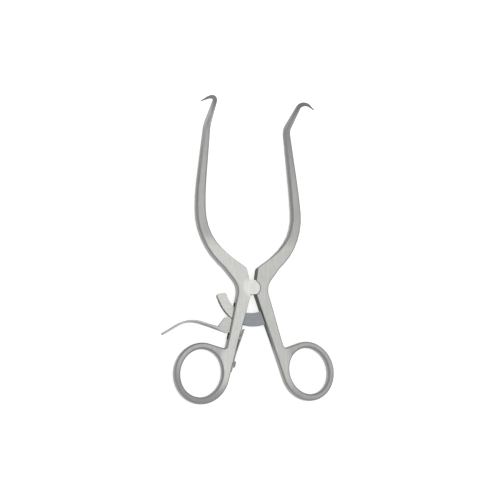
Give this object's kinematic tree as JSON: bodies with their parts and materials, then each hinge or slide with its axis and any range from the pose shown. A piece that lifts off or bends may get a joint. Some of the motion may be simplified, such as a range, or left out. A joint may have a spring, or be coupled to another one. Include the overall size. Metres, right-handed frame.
{
  "type": "self retaining retractor",
  "caption": "Self retaining surgical retractor: ring handled arms on a lap hinge, a toothed arc bar with a sprung thumb release, and upturned pointed prongs.",
  "frame": {"origin": "on the pivot axis, in the flat back plane that the instrument lies on", "axes": "+Y from the pivot to the prongs, +Z out of the back plane towards the side the prongs rise to, +X to the arm that carries the ratchet bar"},
  "size_m": [0.1139, 0.1885, 0.0301],
  "materials": {
    "satin_steel": "satin stainless steel, fine ground grain",
    "turned_steel": "satin stainless steel, fine ground grain",
    "bar_steel": "satin stainless steel, fine ground grain",
    "spring_steel": "satin stainless steel, fine ground grain"
  },
  "bodies": {
    "left_side": {"left_arm": "satin_steel", "pivot_pin": "turned_steel", "lever_pin": "turned_steel", "leaf_spring": "spring_steel", "spring_screw": "turned_steel"},
    "right_side": {"right_arm": "satin_steel", "ratchet_bar": "bar_steel", "bar_rivets": "turned_steel"},
    "lever": {"release_lever": "bar_steel"}
  },
  "joints": [
    {"name": "arm_hinge", "type": "hinge", "parent": "left_side", "child": "right_side", "pos_m": [0, 0, 0], "axis": [0, 0, 1], "range_deg": [-29, 26]},
    {"name": "release_hinge", "type": "hinge", "parent": "left_side", "child": "lever", "pos_m": [-0.01245, -0.02588, 0], "axis": [0, 0, 1], "range_deg": [0, 6], "stiffness_Nm_per_rad": 0.1, "springref_deg": -17.19, "deforming": ["leaf_spring"]}
  ]
}
